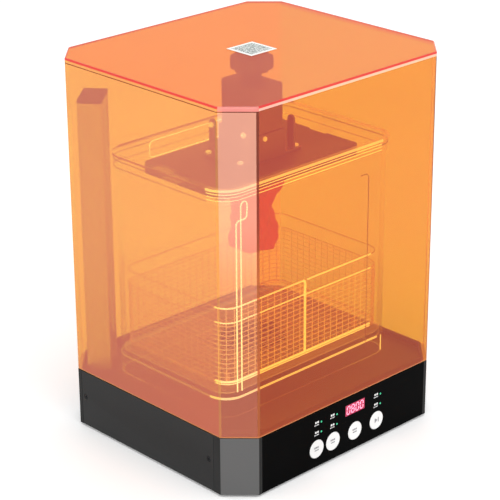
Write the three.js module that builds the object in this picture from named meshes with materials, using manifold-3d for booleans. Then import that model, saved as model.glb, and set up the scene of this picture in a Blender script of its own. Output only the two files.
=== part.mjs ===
// Wash-and-cure station for resin prints: a dark octagonal base with a control panel,
// an amber lift-off hood, a UV lamp column, a clear wash bucket with its basket and
// stirring impeller, and a build platform that hangs in the bucket.
// Millimetres. +X right along the control panel, -Y out of the control panel, +Z up.
// The origin is the middle of the footprint, on the surface that the feet stand on.
import * as THREE from 'three';
import * as BufferGeometryUtils from 'three/addons/utils/BufferGeometryUtils.js';
import Module from 'manifold-3d';

const wasm = await Module();
wasm.setup();

// ---------------------------------------------------------------- driving dimensions
const width = 298;              // over the base, along X
const depth = 268;              // over the base, along Y
const cornerCut = 26.6;         // how far each corner chamfer runs along both sides
const gap = 0.3;                // between pieces that touch
const footHeight = 3.2;
const baseBottom = 2.5;         // underside of the base shell
const hoodBottom = 65;          // where the hood stands on the base
const hoodTop = 399.5;
const hoodWall = 3.5;
const shellWall = 3.6;
const panelThickness = 2;
const deckTop = 63;
const deckThickness = 2.5;
const lipTop = 69;              // the locating lip inside the hood's foot

const bucketHalfX = 120;
const bucketHalfY = 85;
const bucketCorner = 22;
const bucketWall = 2.5;
const bucketFloorTop = 87;
const bucketTop = 303.5;
const rimBandHeight = 15;
const rimStep = 1.4;            // how far the rim band stands out of the bucket's wall
const rimLipOut = 3;            // how far the rim's flange stands out

const basketHalfX = 112;
const basketHalfY = 78;
const basketBottom = 98.5;
const basketTop = 177.5;

const plateHalfX = 96;
const plateHalfY = 57;
const plateTop = 292.5;
const plateThickness = 12;
const bracketHalfX = 33.5;
const bracketHalfY = 29.5;
const bracketTop = 321;
const blockHalfX = 17.5;
const blockHalfY = 27.5;
const blockTop = 367.5;
const knobBottom = 379.5;
const knobTop = 394.5;
const knobRadius = 21.5;

const buttonRadius = 10;
const buttonHeight = 22.5;      // height of the row of buttons above the table
const buttons = { mode: -42, speed: -18.5, time: 13.7, start: 45.9 };
const ledColumns = { mode: -35.6, speed: -13.1, run: 51.3 };
const ledRows = [40, 51];
const displayCentre = [13.7, 49];
const displayWindow = [29, 12.5];

const bossRadius = 42;          // raised cap in the deck over the magnetic drive
const bossTop = 79;

// ---------------------------------------------------------------- materials
function material(colour, roughness, metalness, opacity = 1) {
  return new THREE.MeshStandardMaterial({
    color: colour,
    roughness,
    metalness,
    opacity,
    transparent: opacity < 1,
  });
}

const looks = {
  paintedSteel: () => material(0x3a3a3c, 0.5, 0.35),
  glossBlack: () => material(0x050506, 0.12, 0),
  darkPlastic: () => material(0x2b2b2d, 0.5, 0),
  rubber: () => material(0x151515, 0.85, 0),
  amber: () => material(0xff8a2a, 0.12, 0, 0.45),
  clear: () => material(0xfff1dc, 0.15, 0, 0.3),
  whitePlastic: () => material(0xf4f4f2, 0.35, 0),
  steel: () => material(0xb8b8ba, 0.3, 0.9),
  aluminium: () => material(0x8f9194, 0.4, 0.8),
  anodised: () => material(0x27282b, 0.45, 0.5),
  board: () => material(0x1f5b3a, 0.55, 0),
  magnet: () => material(0xa7a9ad, 0.25, 0.9),
  resin: () => material(0xb9512f, 0.4, 0),
  paper: () => material(0xf2f2f0, 0.6, 0),
  display: () => material(0x4a0d1a, 0.2, 0),
};

// ---------------------------------------------------------------- solids
function toSolid(geometry) {
  const bare = geometry.index ? geometry.toNonIndexed() : geometry.clone();
  bare.deleteAttribute('normal');
  bare.deleteAttribute('uv');
  const merged = BufferGeometryUtils.mergeVertices(bare, 1e-4);
  return new wasm.Manifold(new wasm.Mesh({
    numProp: 3,
    vertProperties: new Float32Array(merged.attributes.position.array),
    triVerts: new Uint32Array(merged.index.array),
  }));
}

function toGeometry(solid) {
  const mesh = solid.getMesh();
  const geometry = new THREE.BufferGeometry();
  geometry.setAttribute('position', new THREE.BufferAttribute(mesh.vertProperties, 3));
  geometry.setIndex(new THREE.BufferAttribute(mesh.triVerts, 1));
  geometry.computeVertexNormals();
  return geometry;
}

function join(...geometries) {
  return toGeometry(geometries.map(toSolid).reduce((a, b) => a.add(b)));
}

function cut(geometry, ...tools) {
  return toGeometry(tools.map(toSolid).reduce((a, b) => a.subtract(b), toSolid(geometry)));
}

// A box from its lowest corner to its highest corner.
function box(x0, y0, z0, x1, y1, z1) {
  const geometry = new THREE.BoxGeometry(x1 - x0, y1 - y0, z1 - z0);
  return geometry.translate((x0 + x1) / 2, (y0 + y1) / 2, (z0 + z1) / 2);
}

// An upright cylinder.
function post(x, y, radius, z0, z1, sides = 24) {
  const geometry = new THREE.CylinderGeometry(radius, radius, z1 - z0, sides);
  return geometry.rotateX(Math.PI / 2).translate(x, y, (z0 + z1) / 2);
}

// A cylinder along Y, for what passes through the front or rear panel.
function rodY(x, z, radius, y0, y1, sides = 24) {
  const geometry = new THREE.CylinderGeometry(radius, radius, y1 - y0, sides);
  return geometry.translate(x, (y0 + y1) / 2, z);
}

// A cylinder along X, for what passes through a side panel.
function rodX(y, z, radius, x0, x1, sides = 16) {
  const geometry = new THREE.CylinderGeometry(radius, radius, x1 - x0, sides);
  return geometry.rotateZ(Math.PI / 2).translate((x0 + x1) / 2, y, z);
}

function prism(shape, z0, z1, curveSegments = 5) {
  const options = { depth: z1 - z0, bevelEnabled: false, curveSegments };
  return new THREE.ExtrudeGeometry(shape, options).translate(0, 0, z0);
}

// The base's octagonal plan, moved in by an inset measured square to each side.
function octagon(inset) {
  const x = width / 2 - inset;
  const y = depth / 2 - inset;
  const cutBack = cornerCut - inset * (2 - Math.SQRT2);
  const shape = new THREE.Shape();
  shape.moveTo(x, -y + cutBack);
  shape.lineTo(x, y - cutBack);
  shape.lineTo(x - cutBack, y);
  shape.lineTo(-x + cutBack, y);
  shape.lineTo(-x, y - cutBack);
  shape.lineTo(-x, -y + cutBack);
  shape.lineTo(-x + cutBack, -y);
  shape.lineTo(x - cutBack, -y);
  shape.closePath();
  return shape;
}

function octagonRing(outerInset, innerInset, z0, z1) {
  const ring = octagon(outerInset);
  ring.holes.push(octagon(innerInset));
  return prism(ring, z0, z1);
}

function roundedRectangle(halfX, halfY, radius) {
  const shape = new THREE.Shape();
  shape.moveTo(halfX, -halfY + radius);
  shape.lineTo(halfX, halfY - radius);
  shape.absarc(halfX - radius, halfY - radius, radius, 0, Math.PI / 2, false);
  shape.lineTo(-halfX + radius, halfY);
  shape.absarc(-halfX + radius, halfY - radius, radius, Math.PI / 2, Math.PI, false);
  shape.lineTo(-halfX, -halfY + radius);
  shape.absarc(-halfX + radius, -halfY + radius, radius, Math.PI, Math.PI * 1.5, false);
  shape.lineTo(halfX - radius, -halfY);
  shape.absarc(halfX - radius, -halfY + radius, radius, Math.PI * 1.5, Math.PI * 2, false);
  return shape;
}

const station = new THREE.Group();

function addPart(name, geometry, look, parent = station) {
  const mesh = new THREE.Mesh(geometry, look);
  mesh.name = name;
  parent.add(mesh);
  return mesh;
}

// ---------------------------------------------------------------- base housing
const frontY = -depth / 2;
const rearY = depth / 2;
const sideX = width / 2;
const panelTop = hoodBottom - 2 * gap;
const shellTop = hoodBottom - gap;
const frontPanelHalf = 118;
const sidePanelFront = -97.5;
const sidePanelRear = 102.5;
const recess = panelThickness + gap;
const sideScrewRows = { front: -91, rear: 96.5 };
const sideScrewHeight = 36;
const inletCentre = [-86, 34];      // x and z of the mains inlet in the rear panel
const inletHalf = [13.7, 10];
const switchCentre = [-52, 34];
const switchHalf = [7.5, 10.4];

function baseShell() {
  const wall = octagonRing(0, shellWall, baseBottom, shellTop);
  const low = baseBottom - 1;
  const high = shellTop + 1;
  const front = box(-frontPanelHalf - gap, frontY - 1, low, frontPanelHalf + gap, frontY + recess, high);
  const rear = box(-frontPanelHalf - gap, rearY - recess, low, frontPanelHalf + gap, rearY + 1, high);
  const left = box(-sideX - 1, sidePanelFront - gap, low, -sideX + recess, sidePanelRear + gap, high);
  const right = box(sideX - recess, sidePanelFront - gap, low, sideX + 1, sidePanelRear + gap, high);
  const controlWindow = box(-60, frontY, 9, 66, frontY + 8, 59);
  const rearWindow = box(-104, rearY - 8, 20, -40, rearY, 48);
  const screwHoles = Object.values(sideScrewRows).map(
    (y) => rodX(y, sideScrewHeight, 1.9, -sideX - 5, sideX + 5, 12),
  );
  return cut(wall, front, rear, left, right, controlWindow, rearWindow, ...screwHoles);
}

function bottomPlate() {
  const slots = [];
  for (const side of [-1, 1]) {
    for (let row = 0; row < 5; row += 1) {
      const y = -30 + row * 15;
      slots.push(box(side * 92 - 22, y - 2, 2, side * 92 + 22, y + 2, 8));
    }
  }
  return cut(prism(octagon(shellWall + 0.4), 3.5, 5.5), ...slots);
}

function deckPlate() {
  const bottom = deckTop - deckThickness;
  const plate = prism(octagon(shellWall + 0.4), bottom, deckTop);
  return cut(plate, post(0, 0, bossRadius + gap, bottom - 1, deckTop + 1, 32));
}

// Upright rim on the deck that centres the hood.
function locatingLip() {
  return octagonRing(hoodWall + 0.8, hoodWall + 2.8, deckTop + gap, lipTop);
}

// Pressed cap over the magnetic drive, dropped into the deck's hole and resting on its flange.
function driveCap() {
  const bottom = deckTop - deckThickness;
  const flange = post(0, 0, bossRadius + 4, deckTop + gap, deckTop + gap + 1.5, 32);
  const can = post(0, 0, bossRadius, bottom, bossTop, 32);
  const hollow = post(0, 0, bossRadius - 2, bottom - 1, bossTop - 2, 32);
  return cut(join(flange, can), hollow);
}

function frontPanel() {
  const sheet = box(-frontPanelHalf, frontY, baseBottom + gap, frontPanelHalf, frontY + panelThickness, panelTop);
  const holes = Object.values(buttons).map(
    (x) => rodY(x, buttonHeight, buttonRadius + gap, frontY - 1, frontY + 4, 24),
  );
  for (const x of Object.values(ledColumns)) {
    for (const z of ledRows) {
      holes.push(rodY(x, z, 1.4, frontY - 1, frontY + 4, 8));
    }
  }
  const [x, z] = displayCentre;
  const [w, h] = displayWindow;
  holes.push(box(x - w / 2, frontY - 1, z - h / 2, x + w / 2, frontY + 4, z + h / 2));
  return cut(sheet, ...holes);
}

function sidePanel(side) {
  const inner = side * (sideX - panelThickness);
  const outer = side * sideX;
  const sheet = box(
    Math.min(inner, outer), sidePanelFront, baseBottom + gap,
    Math.max(inner, outer), sidePanelRear, panelTop,
  );
  const holes = Object.values(sideScrewRows).map(
    (y) => rodX(y, sideScrewHeight, 2.8, Math.min(inner, outer) - 1, Math.max(inner, outer) + 1, 12),
  );
  return cut(sheet, ...holes);
}

function rearPanel() {
  const sheet = box(-frontPanelHalf, rearY - panelThickness, baseBottom + gap, frontPanelHalf, rearY, panelTop);
  const cutouts = [[inletCentre, inletHalf], [switchCentre, switchHalf]].map(([[x, z], [w, h]]) => box(
    x - w - gap, rearY - 5, z - h - gap,
    x + w + gap, rearY + 1, z + h + gap,
  ));
  for (let column = 0; column < 8; column += 1) {
    const x = 30 + column * 10;
    cutouts.push(box(x - 1.5, rearY - 5, 20, x + 1.5, rearY + 1, 48));
  }
  return cut(sheet, ...cutouts);
}

addPart('base_shell', baseShell(), looks.paintedSteel());
addPart('bottom_plate', bottomPlate(), looks.paintedSteel());
addPart('deck_plate', deckPlate(), looks.paintedSteel());
addPart('locating_lip', locatingLip(), looks.paintedSteel());
addPart('drive_cap', driveCap(), looks.paintedSteel());
addPart('front_panel', frontPanel(), looks.glossBlack());
addPart('left_panel', sidePanel(-1), looks.paintedSteel());
addPart('right_panel', sidePanel(1), looks.paintedSteel());
addPart('rear_panel', rearPanel(), looks.paintedSteel());

for (const [sideName, side] of [['left', -1], ['right', 1]]) {
  for (const [rowName, y] of Object.entries(sideScrewRows)) {
    const head = rodX(y, sideScrewHeight, 2.5, sideX - 1.6, sideX - 0.1, 16);
    const shank = rodX(y, sideScrewHeight, 1.5, sideX - 8, sideX - 1, 12);
    const screw = join(head, shank);
    if (side < 0) {
      screw.rotateZ(Math.PI).translate(0, 2 * y, 0);
    }
    addPart(`${sideName}_panel_screw_${rowName}`, screw, looks.steel());
  }
  for (const [rowName, y] of [['front', -92], ['rear', 92]]) {
    addPart(`foot_${rowName}_${sideName}`, post(side * 112, y, 9, 0, footHeight, 20), looks.rubber());
  }
}

// ---------------------------------------------------------------- control panel
const boardFront = frontY + 9;
const boardBack = boardFront + 1.6;

function controlBoard() {
  const sheet = box(-58, boardFront, 10, 64, boardBack, 58);
  const chips = Object.values(buttons).map((x) => box(x - 3, boardBack - 0.5, 34, x + 3, boardBack + 3, 40));
  return join(sheet, ...chips);
}

function displayModule() {
  const [x, z] = displayCentre;
  const [w, h] = displayWindow;
  const body = box(x - w / 2 - 1.5, frontY + 2.3, z - h / 2 - 1, x + w / 2 + 1.5, boardFront - gap, z + h / 2 + 1);
  const face = box(x - w / 2 + gap, frontY + 0.4, z - h / 2 + gap, x + w / 2 - gap, frontY + 3, z + h / 2 - gap);
  return join(body, face);
}

function lightGuide(x) {
  const bar = box(x - 1.6, frontY + 3, ledRows[0] - 2, x + 1.6, boardFront - gap, ledRows[1] + 2);
  const pegs = ledRows.map((z) => rodY(x, z, 1.1, frontY + 0.1, frontY + 3.5, 8));
  return join(bar, ...pegs);
}

// A push cap with a retaining flange behind the panel and a stem to its switch.
function pushButton(x) {
  const cap = rodY(x, buttonHeight, buttonRadius, frontY, frontY + 3, 32);
  const flange = rodY(x, buttonHeight, buttonRadius + 1.3, frontY + 2.3, frontY + 3.5, 24);
  const stem = rodY(x, buttonHeight, 2.5, frontY + 3, boardFront - 1.2, 12);
  return join(cap, flange, stem);
}

addPart('control_board', controlBoard(), looks.board());
addPart('display_module', displayModule(), looks.display());
for (const [name, x] of Object.entries(ledColumns)) {
  addPart(`light_guide_${name}`, lightGuide(x), looks.clear());
}
for (const [name, x] of Object.entries(buttons)) {
  addPart(`button_${name}`, pushButton(x), looks.whitePlastic());
}

// ---------------------------------------------------------------- stirrer drive under the deck
const motorTop = 50;
const shaftRadius = 2.5;

function driveMotor() {
  const can = post(0, 0, 21, 14, motorTop, 24);
  return cut(can, post(0, 0, shaftRadius + 0.5, 24, motorTop + 1, 12));
}

function motorBracket() {
  const bridge = box(-45, -26, motorTop + gap, 45, 26, motorTop + gap + 2);
  const legs = [-1, 1].map((side) => box(side * 44 - 1, -26, 5.8, side * 44 + 1, 26, motorTop + 1));
  const toes = [-1, 1].map((side) => box(side * 50 - 7, -26, 5.8, side * 50 + 7, 26, 7.8));
  return cut(join(bridge, ...legs, ...toes), post(0, 0, 9, motorTop - 1, motorTop + 5, 16));
}

function driveHub() {
  const disc = post(0, 0, 36, 66, 75, 32);
  const neck = post(0, 0, 7, 54, 67, 16);
  const bore = post(0, 0, shaftRadius + gap, 53, 71, 12);
  const pockets = [-1, 1].map((side) => post(side * 24, 0, 8.3, 68.5, 76, 20));
  return cut(join(disc, neck), bore, ...pockets);
}

addPart('drive_motor', driveMotor(), looks.steel());
addPart('motor_bracket', motorBracket(), looks.steel());
addPart('motor_shaft', post(0, 0, shaftRadius, 26, 70.5, 12), looks.steel());
addPart('drive_hub', driveHub(), looks.darkPlastic());
[-1, 1].forEach((side, index) => {
  addPart(`hub_magnet_${index + 1}`, post(side * 24, 0, 8, 68.8, 75, 20), looks.magnet());
});

// ---------------------------------------------------------------- mains side
function powerBoard() {
  const sheet = box(-128, 20, 12, -58, 88, 13.6);
  const transformer = box(-118, 30, 13, -90, 60, 35);
  const capacitor = post(-74, 44, 8, 13, 33, 16);
  const fuseHolder = box(-84, 66, 13, -62, 74, 22);
  return join(sheet, transformer, capacitor, fuseHolder);
}

function powerInlet() {
  const [x, z] = inletCentre;
  const [w, h] = inletHalf;
  const body = box(x - w, rearY - 24, z - h, x + w, rearY - 0.2, z + h);
  const socket = box(x - w + 2.2, rearY - 18, z - h + 2.2, x + w - 2.2, rearY + 1, z + h - 2.2);
  const blades = [[-7, -1.5], [0, 2.5], [7, -1.5]].map(([dx, dz]) => box(
    x + dx - 1, rearY - 20, z + dz - 2,
    x + dx + 1, rearY - 4, z + dz + 2,
  ));
  return join(cut(body, socket), ...blades);
}

function switchFrame() {
  const [x, z] = switchCentre;
  const [w, h] = switchHalf;
  const body = box(x - w, rearY - 20, z - h, x + w, rearY - 0.2, z + h);
  return cut(body, box(x - w + 1.5, rearY - 16, z - h + 1.5, x + w - 1.5, rearY + 1, z + h - 1.5));
}

// The rocker rests tipped, with its upper end pressed in. It turns about a line along X.
const rockerPivotY = rearY - 7;
const rockerTilt = 10 * Math.PI / 180;

function powerRocker() {
  const outline = new THREE.Shape();
  outline.moveTo(-7.4, 5.2);
  outline.lineTo(-5, -3.5);
  outline.lineTo(5, -3.5);
  outline.lineTo(7.4, 5.2);
  outline.lineTo(0, 4.1);
  outline.closePath();
  const geometry = new THREE.ExtrudeGeometry(outline, { depth: 11, bevelEnabled: false });
  // The outline's own x becomes the machine's z, and its y becomes the machine's y.
  geometry.translate(0, 0, -5.5);
  geometry.rotateY(-Math.PI / 2);
  geometry.rotateX(rockerTilt);
  return geometry.translate(switchCentre[0], rockerPivotY, switchCentre[1]);
}

addPart('power_board', powerBoard(), looks.board());
addPart('power_inlet', powerInlet(), looks.darkPlastic());
addPart('switch_frame', switchFrame(), looks.darkPlastic());
addPart('power_rocker', powerRocker(), looks.darkPlastic());

// ---------------------------------------------------------------- UV lamp column
// Built with its light face along +Y of its own group, which is turned to face the bucket.
const lampHalfWidth = 20;
const lampHalfDepth = 12.25;
const lampWall = 2;
const lampBottom = 66.2;
const lampTop = 356.5;
const lampLensHalf = 9;

const lamp = new THREE.Group();
lamp.position.set(-118.5, 104.5, 0);
lamp.rotation.z = -139.5 / 180 * Math.PI;
station.add(lamp);

function lampHousing() {
  const outer = box(-lampHalfWidth, -lampHalfDepth, lampBottom, lampHalfWidth, lampHalfDepth, lampTop - 3.5);
  const inner = box(
    -lampHalfWidth + lampWall, -lampHalfDepth + lampWall, lampBottom - 1,
    lampHalfWidth - lampWall, lampHalfDepth - lampWall, lampTop,
  );
  const slot = box(
    -lampLensHalf - gap, 0, lampBottom + 12,
    lampLensHalf + gap, lampHalfDepth + 1, lampTop - 14,
  );
  const foot = box(
    -lampHalfWidth, -lampHalfDepth, deckTop + gap,
    lampHalfWidth, lampHalfDepth, lampBottom + 0.3,
  );
  return join(cut(outer, inner, slot), foot);
}

function lampBoard() {
  const strip = box(-12, 2, lampBottom + 4, 12, 3.6, lampTop - 8);
  const emitters = [];
  for (let row = 0; row < 9; row += 1) {
    const z = lampBottom + 24 + row * 29;
    emitters.push(box(-2.5, 3, z - 2.5, 2.5, 5.2, z + 2.5));
  }
  return join(strip, ...emitters);
}

function lampLens() {
  const face = box(
    -lampLensHalf, lampHalfDepth - 3, lampBottom + 12 + gap,
    lampLensHalf, lampHalfDepth, lampTop - 14 - gap,
  );
  const flange = box(
    -lampLensHalf - 3, lampHalfDepth - 4, lampBottom + 9,
    lampLensHalf + 3, lampHalfDepth - lampWall - gap, lampTop - 11,
  );
  return join(face, flange);
}

function lampCap() {
  const lid = box(-lampHalfWidth, -lampHalfDepth, lampTop - 3, lampHalfWidth, lampHalfDepth, lampTop);
  const clips = [-1, 1].map((side) => box(
    -3, side * (lampHalfDepth - 3) - 1.5, lampTop - 1,
    3, side * (lampHalfDepth - 3) + 1.5, lampTop + 2,
  ));
  return join(lid, ...clips);
}

addPart('lamp_housing', lampHousing(), looks.aluminium(), lamp);
addPart('lamp_board', lampBoard(), looks.aluminium(), lamp);
addPart('lamp_lens', lampLens(), looks.clear(), lamp);
addPart('lamp_cap', lampCap(), looks.darkPlastic(), lamp);

// ---------------------------------------------------------------- hood
const labelHalf = 17.5;

function hoodShell() {
  const outer = prism(octagon(0), hoodBottom, hoodTop);
  return cut(outer, prism(octagon(hoodWall), hoodBottom - 1, hoodTop - hoodWall));
}

addPart('hood_shell', hoodShell(), looks.amber());
addPart('hood_label', box(-labelHalf, -labelHalf, hoodTop + gap, labelHalf, labelHalf, hoodTop + 0.7), looks.paper());

// ---------------------------------------------------------------- wash bucket, impeller and basket
const bucketBottom = deckTop + gap;
const pinTop = 96.5;

// Half-sizes of the bucket's plan, moved out by a distance.
function bucketPlan(out) {
  return roundedRectangle(bucketHalfX + out, bucketHalfY + out, bucketCorner + out);
}

function washBucket() {
  const body = prism(bucketPlan(0), bucketBottom, bucketTop);
  const band = prism(bucketPlan(rimStep), bucketTop - rimBandHeight, bucketTop);
  const lip = prism(bucketPlan(rimLipOut), bucketTop - 2.5, bucketTop);
  const inside = prism(bucketPlan(-bucketWall), bucketFloorTop, bucketTop + 1);
  const under = prism(bucketPlan(-bucketWall), bucketBottom - 1, bucketFloorTop - 3);
  return cut(join(body, band, lip), inside, under);
}

function impeller() {
  const disc = post(0, 0, 34, 88.2, 90.2, 32);
  const hub = post(0, 0, 9, 88.2, 96, 24);
  const blades = [];
  for (let blade = 0; blade < 6; blade += 1) {
    blades.push(box(5, -1.1, 89, 32, 1.1, 95.5).rotateZ(blade * Math.PI / 3));
  }
  const magnetCups = [-1, 1].map((side) => post(0, side * 22, 7.5, 88.2, 94.5, 20));
  const magnetPockets = [-1, 1].map((side) => post(0, side * 22, 6.3, 87, 93, 20));
  const bore = post(0, 0, 3.05, 87, 97, 24);
  return cut(join(disc, hub, ...blades, ...magnetCups), bore, ...magnetPockets);
}

function washBasket() {
  const body = prism(roundedRectangle(basketHalfX, basketHalfY, 16), basketBottom, basketTop);
  return cut(body, prism(roundedRectangle(basketHalfX - 2, basketHalfY - 2, 14), basketBottom + 2, basketTop + 1));
}

addPart('wash_bucket', washBucket(), looks.clear());
addPart('impeller_pin', post(0, 0, 3, bucketFloorTop + gap, pinTop, 24), looks.steel());
addPart('impeller', impeller(), looks.darkPlastic());
[-1, 1].forEach((side, index) => {
  addPart(`impeller_magnet_${index + 1}`, post(0, side * 22, 6, 88.4, 92.7, 16), looks.magnet());
});
addPart('wash_basket', washBasket(), looks.clear());

// ---------------------------------------------------------------- hanging build platform
const plateBottom = plateTop - plateThickness;
const hangerHalf = 12;
const bodyHalfX = 20;
const footTab = 7;
const footScrewX = 38.5;
const clipY = 23;
const earHeight = 9;

function buildPlate() {
  const slab = prism(roundedRectangle(plateHalfX, plateHalfY, 5), plateBottom, plateTop, 3);
  return cut(slab, ...[-1, 1].map((side) => box(
    side * (plateHalfX + 1) - 4, -hangerHalf - gap, plateTop - 2 - gap,
    side * (plateHalfX + 1) + 4, hangerHalf + gap, plateTop + 1,
  )));
}

// A clear strap from a notch in the plate's end up and over the bucket's rim.
function hangerStrap(side) {
  const reach = bucketHalfX + rimLipOut;
  const low = plateTop - 2;
  const high = bucketTop + gap;
  const riser = bucketHalfX - bucketWall - 3;
  const strap = join(
    box(plateHalfX - 2, -hangerHalf, low, riser, hangerHalf, low + 2),
    box(riser - 2, -hangerHalf, low, riser, hangerHalf, high + 2),
    box(riser - 2, -hangerHalf, high, reach, hangerHalf, high + 2),
  );
  return side < 0 ? strap.rotateZ(Math.PI) : strap;
}

// A folded housing on a foot sheet, with an upright ear at each corner, screwed to the plate.
function plateBracket() {
  const low = plateTop + gap;
  const sheet = prism(roundedRectangle(bracketHalfX + footTab + 3, bracketHalfY - 1.5, 3), low, low + 2.5, 3);
  const outer = prism(roundedRectangle(bodyHalfX, bracketHalfY, 3), low, bracketTop, 3);
  const inner = prism(roundedRectangle(bodyHalfX - 2.5, bracketHalfY - 2.5, 1.5), low - 1, bracketTop - 2.5, 3);
  const ears = [];
  const holes = [];
  for (const side of [-1, 1]) {
    for (const end of [-1, 1]) {
      const x = side * (bracketHalfX - 1.25);
      const y = end * clipY;
      ears.push(box(x - 1.25, y - 4.5, low + 1, x + 1.25, y + 4.5, bracketTop + earHeight));
      holes.push(post(side * footScrewX, y, 1.9, low - 1, low + 5, 12));
    }
  }
  const centre = post(0, 0, 4.5, bracketTop - 5, bracketTop + 1, 16);
  return cut(join(sheet, outer, ...ears), inner, centre, ...holes);
}

// The ribbed clamp block, rounded at its upright corners.
function armBlock() {
  const low = bracketTop + gap;
  const ribPitch = 5;
  const grooveDepth = 1.3;
  const solid = prism(roundedRectangle(blockHalfX, blockHalfY, 3.5), low, blockTop, 3);
  const grooves = [];
  for (let z = low + 6; z < blockTop - 8; z += ribPitch) {
    for (const side of [-1, 1]) {
      const inner = side * (blockHalfX - grooveDepth);
      const outer = side * (blockHalfX + 1);
      grooves.push(box(
        Math.min(inner, outer), -blockHalfY - 1, z,
        Math.max(inner, outer), blockHalfY + 1, z + 2,
      ));
    }
  }
  return cut(solid, ...grooves, post(0, 0, 4.5, low - 1, blockTop + 1, 16));
}

// A knob with eight finger lobes and a collar under it.
function lockKnob() {
  const lobes = 8;
  const outline = new THREE.Shape();
  const steps = 96;
  for (let step = 0; step < steps; step += 1) {
    const angle = step / steps * 2 * Math.PI;
    const radius = knobRadius - 1.5 + 1.5 * Math.cos(lobes * angle);
    const x = radius * Math.cos(angle);
    const y = radius * Math.sin(angle);
    if (step === 0) {
      outline.moveTo(x, y);
    } else {
      outline.lineTo(x, y);
    }
  }
  outline.closePath();
  const head = prism(outline, knobBottom, knobTop);
  const collar = post(0, 0, 10.5, blockTop + gap, knobBottom + 1, 24);
  return cut(join(head, collar), post(0, 0, 4 + gap, blockTop - 1, knobBottom + 8, 16));
}

addPart('build_plate', buildPlate(), looks.anodised());
addPart('hanger_left', hangerStrap(-1), looks.clear());
addPart('hanger_right', hangerStrap(1), looks.clear());
addPart('plate_bracket', plateBracket(), looks.anodised());
addPart('arm_block', armBlock(), looks.anodised());
addPart('knob_stem', post(0, 0, 4, bracketTop - 10, knobBottom + 7.5, 16), looks.steel());
addPart('lock_knob', lockKnob(), looks.darkPlastic());

for (const [sideName, side] of [['left', -1], ['right', 1]]) {
  for (const [endName, end] of [['front', -1], ['rear', 1]]) {
    const x = side * footScrewX;
    const y = end * clipY;
    const seat = plateTop + gap + 2.5 + gap;
    const screw = join(post(x, y, 3.1, seat, seat + 2.2, 16), post(x, y, 1.5, plateTop + 0.5, seat + 1, 10));
    addPart(`bracket_screw_${endName}_${sideName}`, screw, looks.steel());
  }
}

// A plain turned tower of rings stands for a print that is still on the platform.
function samplePrint() {
  const profile = [];
  const low = 196;
  const high = plateBottom - gap;
  const rows = 16;
  profile.push(new THREE.Vector2(0, low));
  for (let row = 0; row <= rows; row += 1) {
    const t = row / rows;
    const radius = 17 + 6 * Math.cos(t * 2 * Math.PI) + 3 * t;
    profile.push(new THREE.Vector2(radius, low + t * (high - low)));
  }
  profile.push(new THREE.Vector2(0, high));
  return new THREE.LatheGeometry(profile, 20).rotateX(Math.PI / 2);
}

addPart('sample_print', samplePrint(), looks.resin());

export default station;
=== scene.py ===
# Wash-and-cure station for resin prints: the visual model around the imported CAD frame.
# Shapes are written in millimetres in the CAD frame and turned into metres when a piece is made.
import math

import bpy
import bmesh
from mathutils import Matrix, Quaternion, Vector


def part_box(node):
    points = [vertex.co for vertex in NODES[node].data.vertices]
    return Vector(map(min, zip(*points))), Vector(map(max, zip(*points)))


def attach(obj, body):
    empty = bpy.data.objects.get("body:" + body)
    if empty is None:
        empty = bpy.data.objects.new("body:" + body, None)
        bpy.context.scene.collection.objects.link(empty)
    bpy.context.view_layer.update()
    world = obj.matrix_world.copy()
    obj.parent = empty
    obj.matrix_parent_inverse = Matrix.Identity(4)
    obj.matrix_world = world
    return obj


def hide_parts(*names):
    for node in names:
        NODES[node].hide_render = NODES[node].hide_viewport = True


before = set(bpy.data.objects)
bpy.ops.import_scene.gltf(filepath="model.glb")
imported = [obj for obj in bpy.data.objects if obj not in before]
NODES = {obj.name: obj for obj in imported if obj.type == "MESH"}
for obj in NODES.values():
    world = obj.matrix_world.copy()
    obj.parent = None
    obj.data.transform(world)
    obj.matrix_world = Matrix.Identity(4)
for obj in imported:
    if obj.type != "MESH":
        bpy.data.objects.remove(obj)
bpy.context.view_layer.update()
MM = 0.001

# ------------------------------------------------------------------ sizes shared with the CAD
WIDTH, DEPTH, CORNER = 298.0, 268.0, 26.6
HOOD_BOTTOM, HOOD_TOP, HOOD_WALL = 65.0, 399.5, 3.5
FRONT_Y = -DEPTH / 2
BUCKET_X, BUCKET_Y, BUCKET_R, BUCKET_WALL = 120.0, 85.0, 22.0, 2.5
BUCKET_LOW, BUCKET_TOP, FLOOR_TOP = 63.3, 303.5, 87.0
BASKET_X, BASKET_Y, BASKET_R = 112.0, 78.0, 16.0
BASKET_LOW, BASKET_TOP = 98.5, 177.5
PLATE_TOP, PLATE_LOW = 292.5, 280.5
BUTTONS = {"mode": -42.0, "speed": -18.5, "time": 13.7, "start": 45.9}
BUTTON_Z, BUTTON_R = 22.5, 10.0
LED_COLUMNS = {"mode": -35.6, "speed": -13.1, "run": 51.3}
LED_ROWS = (40.0, 51.0)
DISPLAY_X, DISPLAY_Z = 13.7, 49.0


# ------------------------------------------------------------------ outlines, in millimetres
def octagon(inset, round_off=0.0, steps=3):
    """The hood's plan moved in by inset, its corners filleted. Points with True lie on a fillet."""
    x, y = WIDTH / 2 - inset, DEPTH / 2 - inset
    c = CORNER - inset * (2 - math.sqrt(2))
    corners = [(x, -y + c), (x, y - c), (x - c, y), (-x + c, y),
               (-x, y - c), (-x, -y + c), (-x + c, -y), (x - c, -y)]
    if round_off <= 0:
        return [Vector((a, b, 0)) for a, b in corners]
    points = []
    for i, (a, b) in enumerate(corners):
        here = Vector((a, b, 0))
        before = (Vector((*corners[i - 1], 0)) - here).normalized()
        after = (Vector((*corners[(i + 1) % 8], 0)) - here).normalized()
        reach = round_off * math.tan(math.radians(22.5))
        start, end = here + before * reach, here + after * reach
        for k in range(steps + 1):
            t = k / steps
            points.append(start * (1 - t) ** 2 + here * 2 * t * (1 - t) + end * t * t)
    return points


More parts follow.
